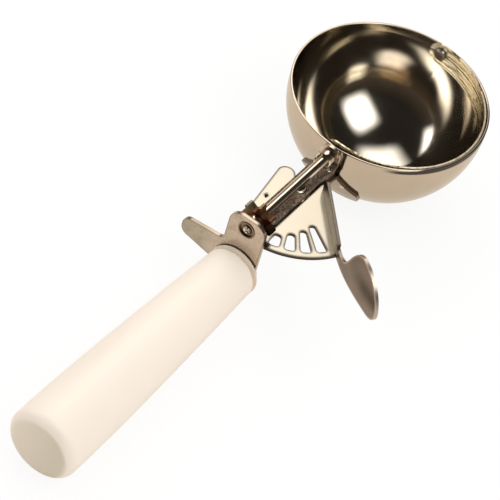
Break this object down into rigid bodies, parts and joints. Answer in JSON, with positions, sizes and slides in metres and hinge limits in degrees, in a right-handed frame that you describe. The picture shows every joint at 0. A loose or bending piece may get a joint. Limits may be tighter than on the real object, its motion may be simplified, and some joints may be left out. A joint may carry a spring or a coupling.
{
  "type": "ice cream scoop",
  "caption": "Lever ice cream scoop with a hemispherical bowl, a rack and pinion scraper worked by a sprung thumb lever, and a tapered moulded handle.",
  "frame": {"origin": "centre of the handle's flat butt face, on the handle's axis", "axes": "+X along the handle towards the bowl, +Z the side the bowl opens to, +Y the finger-rest side"},
  "size_m": [0.2439, 0.094, 0.0506],
  "materials": {
    "handle_white": "moulded, cream white, satin gloss",
    "bowl_steel": "mirror-polished stainless sheet",
    "blade_steel": "polished spring-temper strip",
    "lever_steel": "polished stamped sheet",
    "frame_steel": "polished stamped sheet, softly worn",
    "rod_steel": "drawn and polished rod",
    "pinion_brass": "coppery brass, dull between the teeth",
    "rivet_steel": "polished heads",
    "spring_steel": "plain drawn wire"
  },
  "bodies": {
    "frame": {"handle_grip": "handle_white", "handle_washer": "frame_steel", "handle_spacer": "frame_steel", "handle_tang": "rivet_steel", "bearing_plate": "frame_steel", "rear_bush": "frame_steel", "shank_strap": "frame_steel", "upper_strap": "frame_steel", "strap_packer": "frame_steel", "strap_rivets": "rivet_steel", "pivot_rivet": "rivet_steel", "pivot_washers": "rivet_steel", "bowl": "bowl_steel", "bowl_saddle": "frame_steel", "near_bush": "rod_steel", "far_pivot_stud": "rivet_steel", "return_spring": "spring_steel"},
    "lever": {"thumb_lever": "lever_steel"},
    "scraper": {"scraper_rod": "rod_steel", "pinion": "pinion_brass", "pinion_pin": "rod_steel", "rod_collar": "rod_steel", "collar_pin": "rod_steel", "scraper_blade": "blade_steel"}
  },
  "joints": [
    {"name": "lever_swing", "type": "hinge", "parent": "frame", "child": "lever", "pos_m": [0.1469, 0, 0.0148], "axis": [0, 0, -1], "range_deg": [0, 40.6], "stiffness_Nm_per_rad": 0.35, "springref_deg": -28.65, "deforming": ["return_spring"]},
    {"name": "scraper_spin", "type": "hinge", "parent": "frame", "child": "scraper", "pos_m": [0.2049, 0, 0.021], "axis": [1, 0, 0], "range_deg": [0, 174]}
  ],
  "couplings": [
    {"joint": "scraper_spin", "follows": "lever_swing", "ratio": 4.2857}
  ]
}
